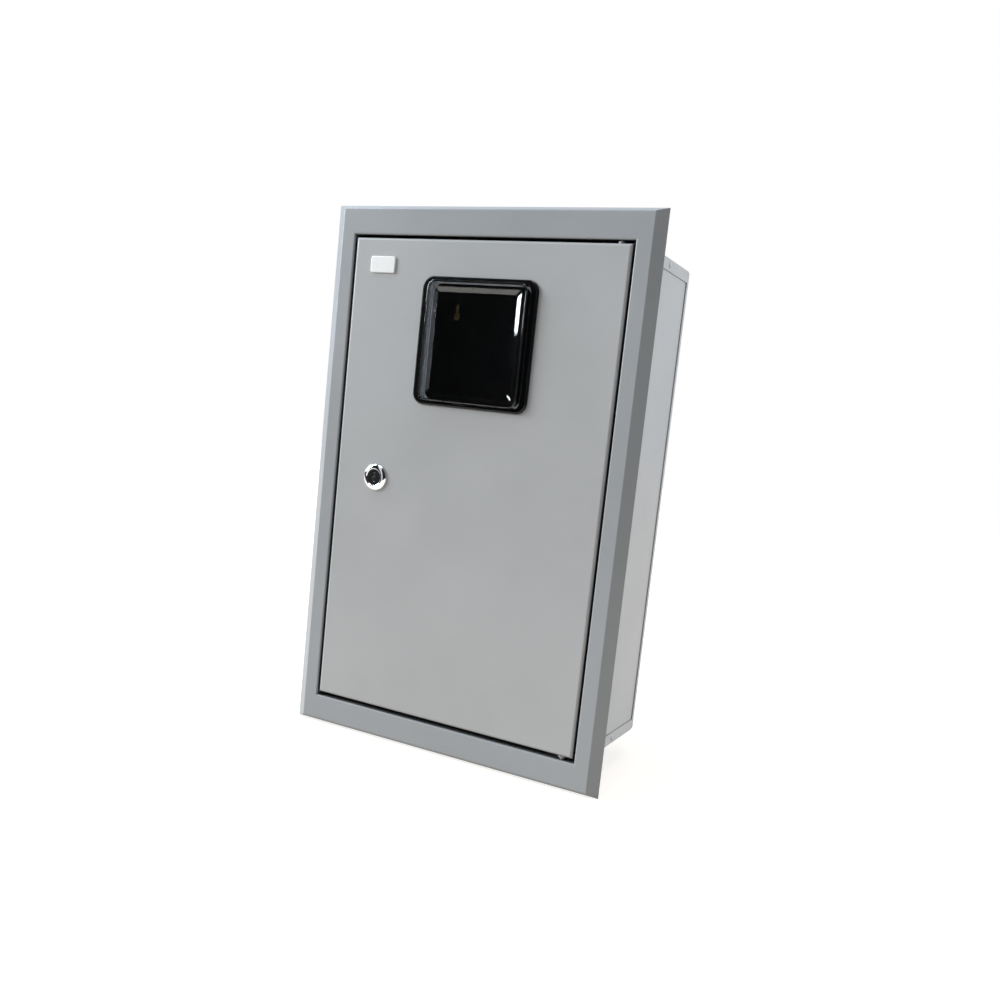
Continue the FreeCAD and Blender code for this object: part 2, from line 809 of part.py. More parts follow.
def make_lock_housing():
    """Lock body: a domed bezel on the door's face and a barrel with two flats."""
    bore = plug_radius + pin_clearance
    crest = bore + bezel_chamfer
    profile = [(bore, plug_recess - bezel_height), (crest, -bezel_height), (bezel_radius, -bezel_edge),
               (bezel_radius, 0), (barrel_radius, 0), (barrel_radius, barrel_length),
               (bore, barrel_length), (bore, plug_recess - bezel_height)]
    points = [V(lock_x + r, front_y + y, lock_z) for r, y in profile]
    edges = Part.makePolygon(points).Edges
    out, rise = dome_middle(bezel_height - bezel_edge, bezel_radius - crest)
    crown = V(lock_x + crest + out, front_y - bezel_edge - rise, lock_z)
    edges[1] = Part.Arc(points[1], crown, points[2]).toShape()
    housing = Part.Face(Part.Wire(edges)).revolve(V(lock_x, 0, lock_z), V(0, 1, 0), 360)
    wide = barrel_radius * 2
    for side in (-1, 1):
        zs = sorted((lock_z + side * barrel_flat, lock_z + side * wide))
        housing = housing.cut(block(lock_x - wide, lock_x + wide, front_y,
                                    front_y + barrel_length + 1, zs[0], zs[1]))
    return housing


def make_lock_nut():
    start = door_inner_y
    nut = hexagon_y(lock_nut_flats, lock_x, lock_z, start, start + lock_nut_height)
    return nut.cut(rod_y(barrel_radius + pin_clearance, lock_x, lock_z, start - 1,
                         start + lock_nut_height + 1))


def make_lock_plug():
    """Plug with a key slot in front and a square tail that carries the cam."""
    face = front_y - bezel_height + plug_recess
    shoulder = front_y + barrel_length
    plug = rod_y(plug_radius, lock_x, lock_z, face, cam_y - cam_gap / 2)
    half = cam_square / 2
    tail = block(lock_x - half, lock_x + half, shoulder, cam_y + cam_sheet, lock_z - half, lock_z + half)
    slot = block(lock_x - key_slot_width / 2, lock_x + key_slot_width / 2, face - 1,
                 face + key_slot_depth, lock_z - key_slot_length / 2, lock_z + key_slot_length / 2)
    thread = rod_y(screw_radius + pin_clearance, lock_x, lock_z, shoulder, cam_y + cam_sheet + 1)
    return fused([plug, tail]).cut(slot).cut(thread)


def make_lock_cam():
    """Cam that hangs down when unlocked and turns behind the frame's lip."""
    half = cam_width / 2
    end = cam_reach - half
    cam = rod_y(half, lock_x, lock_z, cam_y, cam_y + cam_sheet)
    arm = block(lock_x - half, lock_x + half, cam_y, cam_y + cam_sheet, lock_z - end, lock_z)
    tip = rod_y(half, lock_x, lock_z - end, cam_y, cam_y + cam_sheet)
    square = cam_square / 2 + pin_clearance
    hole = block(lock_x - square, lock_x + square, cam_y - 1, cam_y + cam_sheet + 1,
                 lock_z - square, lock_z + square)
    return fused([cam, arm, tip]).cut(hole)


def make_cam_screw():
    seat = cam_y + cam_sheet
    start = seat + cam_washer
    washer = rod_y(cam_width / 2 - cam_washer, lock_x, lock_z, seat, start)
    head = hexagon_y(cam_screw_radius * 2, lock_x, lock_z, start, start + cam_screw_height)
    shank = rod_y(screw_radius, lock_x, lock_z, front_y + barrel_length + cam_screw_room, start)
    return fused([washer, head, shank])


def stud_set(x, z, base_y, length):
    """Weld stud that points to the front."""
    neck = base_y - length + stud_tip
    stud = rod_y(stud_radius, x, z, neck, base_y)
    tip = Part.makeCone(stud_radius, stud_radius - stud_tip, stud_tip, V(x, neck, z), V(0, -1, 0))
    return fused([stud, tip])


def stud_hardware(x, z, base_y, side):
    """Washer and nut on a stud. Side is the way that the stud points."""
    bore = stud_radius + pin_clearance
    seat = stud_seat + stud_washer
    spans = [(stud_seat, seat), (seat, seat + stud_nut_height)]
    ys = [sorted((base_y + side * a, base_y + side * b)) for a, b in spans]
    washer = rod_y(stud_washer_radius, x, z, ys[0][0], ys[0][1]).cut(rod_y(bore, x, z, ys[0][0], ys[0][1]))
    nut = nut_on_y(stud_nut_flats, bore, x, z, ys[1][0], ys[1][1])
    return [washer, nut]


def make_earth_stud():
    return stud_set(earth_stud_x, earth_stud_z, panel_inner_y, stud_length)


def make_earth_stud_nut():
    return Part.makeCompound(stud_hardware(earth_stud_x, earth_stud_z, panel_inner_y, -1))


def make_door_stud():
    stud = stud_set(door_stud_x, door_stud_z, 0, door_stud_length)
    stud.rotate(V(door_stud_x, 0, door_stud_z), V(0, 0, 1), 180)
    stud.translate(V(0, door_inner_y, 0))
    return stud


def make_door_stud_nut():
    return Part.makeCompound(stud_hardware(door_stud_x, door_stud_z, door_inner_y, 1))


def plate_screw_places():
    across = plate_width / 2 - plate_screw_inset
    return [(plate_x + side * across, z) for side in (-1, 1) for z in (lower_rail_z, upper_rail_z)]


def make_meter_plate():
    """Insulating board with keyholes to hang a meter and slots for its lower screws."""
    y0 = plate_front_y - 1
    y1 = plate_back_y + 1
    plate = rounded_plate(plate_width, plate_height, plate_corner, plate_x, plate_z,
                          plate_front_y, plate_back_y)
    for side in (-1, 1):
        x = plate_x + side * keyhole_spacing / 2
        plate = plate.cut(rod_y(keyhole_radius, x, keyhole_z, y0, y1))
        plate = plate.cut(block(x - keyhole_slot, x + keyhole_slot, y0, y1,
                                keyhole_z, keyhole_z + keyhole_rise))
        plate = plate.cut(rod_y(keyhole_slot, x, keyhole_z + keyhole_rise, y0, y1))
        plate = plate.cut(slot_y(meter_slot_length, meter_slot_radius,
                                 plate_x + side * meter_slot_spacing / 2, meter_slot_z, y0, y1))
    for x, z in plate_screw_places():
        plate = plate.cut(rod_y(screw_radius + screw_play, x, z, y0, y1))
    return plate


def make_cross_rail(z):
    """Folded channel across the box, with an end tab welded to each side wall."""
    half = rail_height / 2
    back = plate_back_y + rail_tab
    strap_path = [(-wall_inner_x, back), (-wall_inner_x, plate_back_y),
                  (wall_inner_x, plate_back_y), (wall_inner_x, back)]
    strap = sheet_face(strap_path, rail_sheet, [rail_sheet, rail_sheet],
                       lambda a, b: V(a, b, z - half)).extrude(V(0, 0, rail_height))
    end = wall_inner_x - 4 * rail_sheet
    ends = strap.cut(block(-end, end, plate_back_y - 1, back + 1, z - half - 1, z + half + 1))
    flange = plate_back_y + rail_flange
    channel_path = [(z - half, flange), (z - half, plate_back_y),
                    (z + half, plate_back_y), (z + half, flange)]
    channel = sheet_face(channel_path, rail_sheet, [rail_sheet, rail_sheet],
                         lambda a, b: V(-end, b, a)).extrude(V(2 * end, 0, 0))
    rail = fused([channel, ends])
    for x, screw_z in plate_screw_places():
        if screw_z == z:
            rail = rail.cut(rod_y(screw_radius + pin_clearance, x, z, plate_back_y - 1, back))
    return rail


def screw_y(x, z, seat, end):
    """Pan head screw that is driven towards +Y. Its head sits on the seat."""
    top = seat - screw_head_height
    out, rise = dome_middle(screw_dome, screw_head_radius)
    rim = V(screw_head_radius, top + screw_dome, 0)
    rest = [rim, V(screw_head_radius, seat, 0), V(screw_radius, seat, 0),
            V(screw_radius, end, 0), V(0, end, 0), V(0, top, 0)]
    edges = [Part.Arc(V(0, top, 0), V(out, top + screw_dome - rise, 0), rim).toShape()]
    edges += Part.makePolygon(rest).Edges
    screw = Part.Face(Part.Wire(edges)).revolve(V(0, 0, 0), V(0, 1, 0), 360)
    for half_x, half_z in ((cross_arm, cross_web), (cross_web, cross_arm)):
        screw = screw.cut(block(-half_x, half_x, top - 1, top + cross_depth, -half_z, half_z))
    screw.translate(V(x, 0, z))
    return screw


def make_meter_plate_screws():
    end = plate_back_y + rail_sheet + nut_height + thread_end
    return Part.makeCompound([screw_y(x, z, plate_front_y, end) for x, z in plate_screw_places()])


def nut_group(places, start):
    """Hexagon nuts on screws that point towards +Y."""
    return Part.makeCompound([nut_on_y(nut_flats, screw_radius + pin_clearance, x, z,
                                       start, start + nut_height) for x, z in places])


def make_din_rail():
    """Top hat rail with a row of slots in its web."""
    half = din_height / 2
    hat = din_hat / 2
    web_y = din_back_y - din_sheet
    path = [(din_z - half, din_front_y), (din_z - hat, din_front_y), (din_z - hat, web_y),
            (din_z + hat, web_y), (din_z + hat, din_front_y), (din_z + half, din_front_y)]
    section = sheet_face(path, din_sheet, [din_sheet / 2] * 4, lambda a, b: V(-din_length / 2, b, a))
    rail = section.extrude(V(din_length, 0, 0))
    for index in range(din_slots):
        x = index * din_pitch - last_slot_x
        rail = rail.cut(slot_y(din_slot_length, din_slot_radius, x, din_z, web_y - 1, din_back_y + 1))
    return rail


def angle_bracket(side, front, reach, leg, thickness, low, high):
    """Folded angle: one leg faces the front, and the other is welded to a side wall."""
    path = [(wall_inner_x - reach, front), (wall_inner_x, front), (wall_inner_x, front + leg)]
    section = sheet_face(path, thickness, [thickness], lambda a, b: V(a, b, low))
    bracket = section.extrude(V(0, 0, high - low))
    if side < 0:
        bracket = bracket.mirror(V(0, 0, 0), V(1, 0, 0))
    return bracket


def din_screw_places():
    return [(side * last_slot_x, din_z) for side in (-1, 1)]


def make_din_brackets():
    reach = wall_inner_x - last_slot_x + din_end
    half = bracket_height / 2
    brackets = []
    for side, (x, z) in zip((-1, 1), din_screw_places()):
        bracket = angle_bracket(side, din_back_y, reach, bracket_tab, bracket_sheet, z - half, z + half)
        hole = rod_y(screw_radius + pin_clearance, x, z, din_back_y - 1, din_back_y + bracket_sheet + 1)
        brackets.append(bracket.cut(hole))
    return Part.makeCompound(brackets)


def make_din_screws():
    end = din_back_y + bracket_sheet + nut_height + thread_end
    seat = din_back_y - din_sheet
    return Part.makeCompound([screw_y(x, z, seat, end) for x, z in din_screw_places()])


def cover_screw_places():
    x = wall_inner_x - cover_screw_inset
    return [(side * x, z) for side in (-1, 1)
            for z in (cover_bottom + cover_screw_end, cover_top - cover_screw_end)]


def make_breaker_cover():
    """Folded cover with a slot for the fronts of the modular devices."""
    half = wall_inner_x - cover_side_gap
    path = [(cover_bottom, cover_y + cover_fold), (cover_bottom, cover_y),
            (cover_top, cover_y), (cover_top, cover_y + cover_fold)]
    cover = sheet_face(path, body_sheet, [cover_bend, cover_bend],
                       lambda a, b: V(-half, b, a)).extrude(V(2 * half, 0, 0))
    width = module_count * module_pitch + module_slot_play
    cover = cover.cut(rounded_plate(width, module_slot_height, module_slot_corner, 0, din_z,
                                    cover_y - 1, cover_y + body_sheet + 1))
    for x, z in cover_screw_places():
        cover = cover.cut(rod_y(screw_radius + screw_play, x, z, cover_y - 1, cover_y + body_sheet + 1))
    return cover


def make_cover_tabs():
    front = cover_y + body_sheet
    half = cover_tab_width / 2
    tabs = []
    for x, z in cover_screw_places():
        tab = angle_bracket(x, front, cover_tab_reach, cover_tab_leg, rail_sheet, z - half, z + half)
        tabs.append(tab.cut(rod_y(screw_radius + pin_clearance, x, z, front - 1, front + rail_sheet + 1)))
    return Part.makeCompound(tabs)


def make_cover_screws():
    end = cover_y + body_sheet + rail_sheet + nut_height + thread_end
    return Part.makeCompound([screw_y(x, z, cover_y, end) for x, z in cover_screw_places()])


def bar_end_places(z):
    return [(side * bar_half, z) for side in (-1, 1)]


def bar_way_places(z):
    return [(index * bar_way_pitch - (bar_ways - 1) * bar_way_pitch / 2, z) for index in range(bar_ways)]


def make_terminal_bar(z):
    """Brass bar with a cross bore and a clamping screw hole for each way."""
    length = bar_half + bar_end
    front = bar_back_y - bar_thickness
    middle = bar_back_y - bar_thickness / 2
    half = bar_height / 2
    bar = block(-length, length, front, bar_back_y, z - half, z + half)
    bar = bar.makeChamfer(bar_edge, [edge for edge in bar.Edges if edge.BoundBox.XLength > 1])
    for x, way_z in bar_way_places(z):
        bar = bar.cut(rod_z(bar_bore, x, middle, way_z - half - 1, way_z + half + 1))
        bar = bar.cut(rod_y(bar_screw_radius + pin_clearance, x, way_z, front - 1, middle))
    for x, end_z in bar_end_places(z):
        bar = bar.cut(rod_y(screw_radius + pin_clearance, x, end_z, front - 1, bar_back_y + 1))
    return bar


def make_bar_screws(z):
    """Slotted clamping screws in the ways, and the two screws that hold the bar."""
    front = bar_back_y - bar_thickness
    middle = bar_back_y - bar_thickness / 2
    top = front - bar_screw_height
    screws = []
    for x, way_z in bar_way_places(z):
        head = rod_y(bar_screw_head, x, way_z, top, front)
        shank = rod_y(bar_screw_radius, x, way_z, front, middle - bar_bore)
        slot = block(x - bar_screw_head, x + bar_screw_head, top - 1, top + bar_screw_slot,
                     way_z - bar_screw_slot / 2, way_z + bar_screw_slot / 2)
        screws.append(fused([head, shank]).cut(slot))
    for x, end_z in bar_end_places(z):
        screws.append(screw_y(x, end_z, front, bar_back_y + standoff_thread))
    return Part.makeCompound(screws)


def threaded_back(body, x, z):
    """The body with a hole for the bar's screw in its front end."""
    return body.cut(rod_y(screw_radius + pin_clearance, x, z, bar_back_y - 1,
                          bar_back_y + standoff_thread + pin_tip))


def make_neutral_standoffs():
    """Ribbed hexagon insulators between the neutral bar and the back panel."""
    pitch = (standoff_length - standoff_rib) / (standoff_ribs - 1)
    standoffs = []
    for x, z in bar_end_places(neutral_bar_z):
        forms = [hexagon_y(standoff_flats - 2 * standoff_groove, x, z, bar_back_y, panel_inner_y)]
        for index in range(standoff_ribs):
            start = bar_back_y + index * pitch
            forms.append(hexagon_y(standoff_flats, x, z, start, start + standoff_rib))
        standoffs.append(threaded_back(fused(forms), x, z))
    return Part.makeCompound(standoffs)


def make_earth_spacers():
    """Hexagon spacers between the earth bar and the back panel."""
    return Part.makeCompound([threaded_back(hexagon_y(spacer_flats, x, z, bar_back_y, panel_inner_y), x, z)
                              for x, z in bar_end_places(earth_bar_z)])


def cabinet_nodes():
    return {
        "front_frame": make_front_frame(),
        "side_wall_left": make_side_wall(-1),
        "side_wall_right": make_side_wall(1),
        "top_cap": make_cap(1),
        "bottom_cap": make_cap(-1),
        "back_panel": make_back_panel(),
        "body_rivets": make_body_rivets(),
        "cable_grommets": make_cable_grommets(),
        "door_seal": make_door_seal(),
        "lower_hinge_pin": make_lower_hinge_pin(),
        "earth_stud": make_earth_stud(),
        "earth_stud_nut": make_earth_stud_nut(),
    }


def inner_nodes():
    return {
        "upper_cross_rail": make_cross_rail(upper_rail_z),
        "lower_cross_rail": make_cross_rail(lower_rail_z),
        "meter_plate": make_meter_plate(),
        "meter_plate_screws": make_meter_plate_screws(),
        "meter_plate_nuts": nut_group(plate_screw_places(), plate_back_y + rail_sheet),
        "din_rail": make_din_rail(),
        "din_rail_brackets": make_din_brackets(),
        "din_rail_screws": make_din_screws(),
        "din_rail_nuts": nut_group(din_screw_places(), din_back_y + bracket_sheet),
        "breaker_cover": make_breaker_cover(),
        "cover_tabs": make_cover_tabs(),
        "cover_screws": make_cover_screws(),
        "cover_nuts": nut_group(cover_screw_places(), cover_y + body_sheet + rail_sheet),
        "neutral_bar": make_terminal_bar(neutral_bar_z),
        "neutral_bar_screws": make_bar_screws(neutral_bar_z),
        "neutral_standoffs": make_neutral_standoffs(),
        "earth_bar": make_terminal_bar(earth_bar_z),
        "earth_bar_screws": make_bar_screws(earth_bar_z),
        "earth_spacers": make_earth_spacers(),
    }


def door_nodes():
    return {
        "door_panel": make_door_panel(),
        "door_hinge_plates": make_hinge_plates(),
        "upper_hinge_pin": make_upper_hinge_pin(),
        "window_gasket": make_window_gasket(),
        "window_pane": make_window_pane(),
        "window_retainer": make_window_retainer(),
        "window_studs": make_window_studs(),
        "window_nuts": make_window_nuts(),
        "badge_plate": make_badge(),
        "lock_housing": make_lock_housing(),
        "lock_nut": make_lock_nut(),
        "lock_plug": make_lock_plug(),
        "lock_cam": make_lock_cam(),
        "cam_screw": make_cam_screw(),
        "door_earth_stud": make_door_stud(),
        "door_earth_nut": make_door_stud_nut(),
    }


def main():
    os.makedirs("parts", exist_ok=True)
    for nodes in (cabinet_nodes(), inner_nodes(), door_nodes()):
        for name, shape in nodes.items():
            shape.exportStep("parts/" + name + ".step")


main()
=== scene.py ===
import bpy
import json
import math
from mathutils import Euler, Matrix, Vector


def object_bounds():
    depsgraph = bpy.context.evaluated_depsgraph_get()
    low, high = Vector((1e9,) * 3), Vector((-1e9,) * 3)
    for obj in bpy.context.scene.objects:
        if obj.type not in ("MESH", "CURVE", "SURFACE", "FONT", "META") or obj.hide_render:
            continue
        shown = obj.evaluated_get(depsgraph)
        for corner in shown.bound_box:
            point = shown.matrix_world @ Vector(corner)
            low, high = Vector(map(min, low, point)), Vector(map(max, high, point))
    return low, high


# Looks of a recessed electric meter box. Metres, +X right, +Y into the wall and +Z up.

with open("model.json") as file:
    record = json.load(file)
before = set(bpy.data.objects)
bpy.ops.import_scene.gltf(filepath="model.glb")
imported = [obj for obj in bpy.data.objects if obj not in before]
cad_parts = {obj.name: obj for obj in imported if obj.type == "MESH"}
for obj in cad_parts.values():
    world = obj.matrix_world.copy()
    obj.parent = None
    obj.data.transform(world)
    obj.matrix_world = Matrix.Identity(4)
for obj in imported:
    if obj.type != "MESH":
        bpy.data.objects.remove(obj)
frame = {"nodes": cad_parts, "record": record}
cad_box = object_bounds()

MM = 0.001

# Camera: place, angles in degrees, focal length, sensor width and shift
CAMERA_PLACE = (0.4862, -0.9803, 0.0695)
CAMERA_ANGLES = (83.18, -6.47, 24.81)
CAMERA_LENS = 33.56
CAMERA_SENSOR = 36
CAMERA_SHIFT = (-0.062, 0.0435)

# Floor: reach to the sides and the rear, front edge, distance under the object, colour and lift
FLOOR_REACH = 6.0
FLOOR_FRONT = -1.3
FLOOR_DROP = 0.4 * MM
FLOOR_COLOUR = (0.48, 0.42, 0.35)
FLOOR_LIFT = 0.74

# Surroundings: tint, light in front and behind, and what gloss, glass and the camera see
SKY_TINT = (0.92, 0.98, 1.06, 1)
FRONT_LIGHT = 0.40
REAR_LIGHT = 0.38
FRONT_GLOSS = 0.02
AHEAD_GLOSS = 0.8
INNER_LIGHT = 2.0
BACKDROP = 1.0
PLAIN_WHITE = (1, 1, 1, 1)

# Where the surroundings change, as parts of a direction of length 1: along +Y from front to rear,
# sideways at the edge of the strip ahead, and along +X where the light for glass begins
REAR_SPAN = (-0.35, 0.3)
AHEAD_SPAN = (0.12, 0.30)
INNER_SPAN = (0.05, 0.30)

# Soft suns: strength, tint, angles and spread in degrees
LEFT_SUN = (3.6, (0.96, 1.0, 1.04), (72, 0, -65), 25)
RIGHT_SUN = (2.0, (0.95, 1.0, 1.06), (78, 0, 122), 45)
TOP_SUN = (0.8, (1.0, 1.0, 0.98), (8, 0, 0), 26)

# Near lamp
LAMP_PLACE = (-0.85, -0.205, 0.95)
LAMP_AIM = (-0.17, -0.16, 0.22)
LAMP_WATTS = 6.0
LAMP_TINT = (0.80, 0.97, 1.20)
LAMP_SIZE = 0.45

# Colours, linear
PAINT = (0.412, 0.415, 0.414)
# Frame paint: darker than the body's paint, as painted shade on the frame
SHADED_FRAME_PAINT = (0.326, 0.338, 0.346)
WHITE = (0.90, 0.90, 0.88)

# Painted shade in gaps: millimetres over which the coat's colour darkens, open share from dark to
# plain, and the dark tone
GAP_REACH = 9
GAP_SPAN = (0.22, 0.70)
GAP_SHADE_TONE = (0.02, 0.02, 0.02, 1)
GAP_SAMPLES = 8
EDGE_SAMPLES = 4

# Part of a noise's values over which the gloss and the tones change
GLOSS_SPAN = (0.25, 0.75)
TONE_SPAN = (0.3, 0.7)

# Nodes with another material than their slot in the record
OWN_MATERIALS = {
    # Darker copy of the coat, as painted shade on the frame
    "front_frame": "shaded_frame_coat",
    # Hinge pins get darkened steel, as painted shade in the door gap
    "upper_hinge_pin": "shaded_pin_steel",
    "lower_hinge_pin": "shaded_pin_steel",
}


def scaled(colour, factor):
    return tuple(part * factor for part in colour)


class Nodes:
    """Short ways to add and join shader nodes."""

    def __init__(self, tree):
        self.tree = tree

    def node(self, kind, inputs=None, **settings):
        made = self.tree.nodes.new(kind)
        for key, value in settings.items():
            setattr(made, key, value)
        for key, value in (inputs or {}).items():
            self.put(made.inputs[key], value)
        return made

    def put(self, socket, value):
        if isinstance(value, bpy.types.NodeSocket):
            self.tree.links.new(value, socket)
        else:
            socket.default_value = value

    def largest(self, *terms):
        total = terms[0]
        for term in terms[1:]:
            inputs = {0: total, 1: term}
            total = self.node("ShaderNodeMath", inputs, operation="MAXIMUM").outputs[0]
        return total

    def mapped(self, value, span, low, high, **settings):
        inputs = {"Value": value, "From Min": span[0], "From Max": span[1],
                  "To Min": low, "To Max": high}
        return self.node("ShaderNodeMapRange", inputs, **settings).outputs[0]

    def eased(self, value, span, low, high):
        return self.mapped(value, span, low, high, interpolation_type="SMOOTHSTEP")

    def mixed(self, share, plain, full):
        inputs = {"Factor": share, "A": plain, "B": full}
        return self.node("ShaderNodeMix", inputs, data_type="RGBA").outputs["Result"]


class Material(Nodes):
    """A node material whose patterns are measured in millimetres on the object."""

    def __init__(self, name):
        self.made = bpy.data.materials.new(name)
        self.made.use_nodes = True
        super().__init__(self.made.node_tree)
        self.shader = self.tree.nodes["Principled BSDF"]
        self.place = self.node("ShaderNodeTexCoord").outputs["Object"]

    def set(self, **values):
        for key, value in values.items():
            self.put(self.shader.inputs[key.replace("_", " ")], value)

    def stretched(self, scale):
        return self.node("ShaderNodeMapping", {"Vector": self.place, "Scale": scale}).outputs[0]

    def noise(self, size, detail=2.0, rough=0.5, vector=None):
        inputs = {"Vector": vector or self.place, "Scale": 1 / (size * MM),
                  "Detail": detail, "Roughness": rough}
        return self.node("ShaderNodeTexNoise", inputs).outputs[0]

    def cells(self, size):
        inputs = {"Vector": self.place, "Scale": 1 / (size * MM)}
        return self.node("ShaderNodeTexVoronoi", inputs).outputs[0]

    def ramp(self, factor, stops):
        made = self.node("ShaderNodeValToRGB", {"Fac": factor})
        for extra in range(len(stops) - 2):
            made.color_ramp.elements.new(0.5)
        for element, (position, colour) in zip(made.color_ramp.elements, stops):
            element.position = position
            element.color = (*colour, 1)
        return made.outputs[0]

    def tones(self, factor, low, high):
        return self.ramp(factor, [(TONE_SPAN[0], low), (TONE_SPAN[1], high)])

    def gloss(self, factor, low, high):
        return self.mapped(factor, GLOSS_SPAN, low, high)

    def relief(self, height, depth, normal=None):
        inputs = {"Height": height, "Strength": 1.0, "Distance": depth * MM}
        if normal is not None:
            inputs["Normal"] = normal
        return self.node("ShaderNodeBump", inputs).outputs[0]

    def painted_gap_shade(self, colour):
        """Painted shade: the colour darkens in narrow gaps, where little light gets in."""
        reach = {"Distance": GAP_REACH * MM}
        occlusion = self.node("ShaderNodeAmbientOcclusion", reach, samples=GAP_SAMPLES)
        share = self.eased(occlusion.outputs["AO"], GAP_SPAN, 0, 1)
        return self.mixed(share, GAP_SHADE_TONE, colour)

    def soft_edges(self, radius):
        inputs = {"Radius": radius * MM}
        return self.node("ShaderNodeBevel", inputs, samples=EDGE_SAMPLES).outputs[0]


def coat(name, paint):
    """Semi gloss powder coat: fine orange peel, slight clouding, softened sheet edges and painted
    shade in narrow gaps.
    """
    made = Material(name)
    cloud = made.noise(90, 3)
    peel = made.noise(0.9, 2, 0.6)
    grain = made.noise(0.28, 1)
    tone = made.tones(cloud, scaled(paint, 0.965), scaled(paint, 1.035))
    # The base colour gets painted shade in narrow gaps
    made.set(Base_Color=made.painted_gap_shade(tone),
             Roughness=made.gloss(peel, 0.30, 0.38),
             Specular_IOR_Level=0.4,
             Normal=made.relief(grain, 0.012, made.relief(peel, 0.03, made.soft_edges(0.35))))
    return made.made


def powder_coat():
    """Coat of the body, the door and the cover."""
    return coat("powder_coat", PAINT)


def shaded_frame_coat():
    """Coat of the front frame, slightly darker as painted shade."""
    return coat("shaded_frame_coat", SHADED_FRAME_PAINT)


def shaded_pin_steel():
    """Rough steel of the hinge pins, its colour darkened as painted shade for the gap they sit in.
    """
    made = Material("shaded_pin_steel")
    patch = made.noise(1.5, 3, 0.6)
    made.set(Base_Color=made.tones(patch, (0.20, 0.20, 0.21), (0.28, 0.28, 0.29)),
             Metallic=0.6,
             Roughness=made.gloss(patch, 0.48, 0.6),
             Normal=made.relief(patch, 0.01, made.soft_edges(0.15)))
    return made.made


def zinc_steel():
    """Bright zinc plate with fine drawn scratches."""
    made = Material("zinc_steel")
    scratch = made.noise(1.2, 4, 0.7, made.stretched((1, 1, 9)))
    bloom = made.noise(6, 3)
    made.set(Base_Color=made.tones(bloom, (0.50, 0.52, 0.55), (0.66, 0.67, 0.68)),
             Metallic=1.0,
             Roughness=made.gloss(scratch, 0.24, 0.42),
             Normal=made.relief(scratch, 0.006, made.soft_edges(0.15)))
    return made.made


def yellow_zinc():
    """Yellow passivated zinc, with the usual drift towards green and rose."""
    made = Material("yellow_zinc")
    drift = made.noise(14, 3, 0.6)
    scratch = made.noise(1.0, 4, 0.7, made.stretched((6, 1, 1)))
    made.set(Base_Color=made.ramp(drift, [(0.25, (0.62, 0.50, 0.20)), (0.5, (0.66, 0.44, 0.15)),
                                          (0.75, (0.60, 0.36, 0.22))]),
             Metallic=0.7,
             Roughness=made.gloss(scratch, 0.34, 0.50),
             Normal=made.relief(scratch, 0.006, made.soft_edges(0.3)))
    return made.made


def brass():
    """Drawn brass with long fine lines and dull patches."""
    made = Material("brass")
    lines = made.noise(1.4, 4, 0.7, made.stretched((0.08, 1, 1)))
    patch = made.noise(9, 3)
    made.set(Base_Color=made.tones(patch, (0.55, 0.36, 0.12), (0.72, 0.52, 0.22)),
             Metallic=1.0,
             Roughness=made.gloss(lines, 0.2, 0.38),
             Normal=made.relief(lines, 0.01, made.soft_edges(0.2)))
    return made.made


def chrome():
    """Polished chrome with faint wipe marks."""
    made = Material("chrome")
    wipe = made.noise(2.5, 4, 0.6)
    made.set(Base_Color=made.tones(wipe, (0.80, 0.81, 0.82), (0.88, 0.89, 0.90)),
             Metallic=1.0,
             Roughness=made.gloss(wipe, 0.05, 0.12),
             Normal=made.relief(wipe, 0.004, made.soft_edges(0.2)))
    return made.made


def black_rubber():
    """Glossy moulded rubber with a slight pebble."""
    made = Material("black_rubber")
    pebble = made.noise(0.8, 3, 0.6)
    bloom = made.noise(12, 3)
    made.set(Base_Color=made.tones(bloom, (0.0008, 0.0008, 0.0009), (0.0014, 0.0014, 0.0015)),
             Roughness=made.gloss(pebble, 0.16, 0.26),
             Specular_IOR_Level=0.3,
             Normal=made.relief(pebble, 0.02, made.soft_edges(0.4)))
    return made.made


def grey_foam():
    """Closed cell foam strip."""
    made = Material("grey_foam")
    cells = made.cells(0.9)
    made.set(Base_Color=made.ramp(cells, [(0.1, (0.02, 0.02, 0.022)), (0.8, (0.07, 0.07, 0.075))]),
             Roughness=0.9,
             Normal=made.relief(cells, 0.25))
    return made.made


def clear_plastic():
    """Clear moulded polycarbonate with a faint flow pattern."""
    made = Material("clear_plastic")
    flow = made.noise(18, 2)
    made.set(Base_Color=made.tones(flow, (0.90, 0.93, 0.95), (0.95, 0.97, 0.98)),
             Transmission_Weight=1.0,
             IOR=1.58,
             Roughness=made.gloss(flow, 0.01, 0.05),
             Normal=made.relief(flow, 0.05))
    return made.made


def black_board():
    """Black insulating laminate with a pressed texture."""
    made = Material("black_board")
    weave = made.noise(0.7, 2, 0.6)
    cloud = made.noise(40, 3)
    made.set(Base_Color=made.tones(cloud, (0.0014, 0.0014, 0.0014), (0.003, 0.003, 0.003)),
             Roughness=made.gloss(weave, 0.45, 0.62),
             Specular_IOR_Level=0.12,
             Normal=made.relief(weave, 0.04, made.soft_edges(0.3)))
    return made.made


def blue_plastic():
    """Blue moulded insulator."""
    made = Material("blue_plastic")
    grain = made.noise(0.6, 2)
    cloud = made.noise(8, 3)
    made.set(Base_Color=made.tones(cloud, (0.015, 0.10, 0.36), (0.025, 0.13, 0.44)),
             Roughness=made.gloss(grain, 0.38, 0.5),
             Normal=made.relief(grain, 0.02, made.soft_edges(0.3)))
    return made.made


def white_plastic():
    """Glossy white plate."""
    made = Material("white_plastic")
    cloud = made.noise(9, 3)
    grain = made.noise(0.5, 2)
    made.set(Base_Color=made.tones(cloud, scaled(WHITE, 0.96), WHITE),
             Roughness=made.gloss(grain, 0.22, 0.3),
             Normal=made.relief(grain, 0.006, made.soft_edges(0.3)))
    return made.made


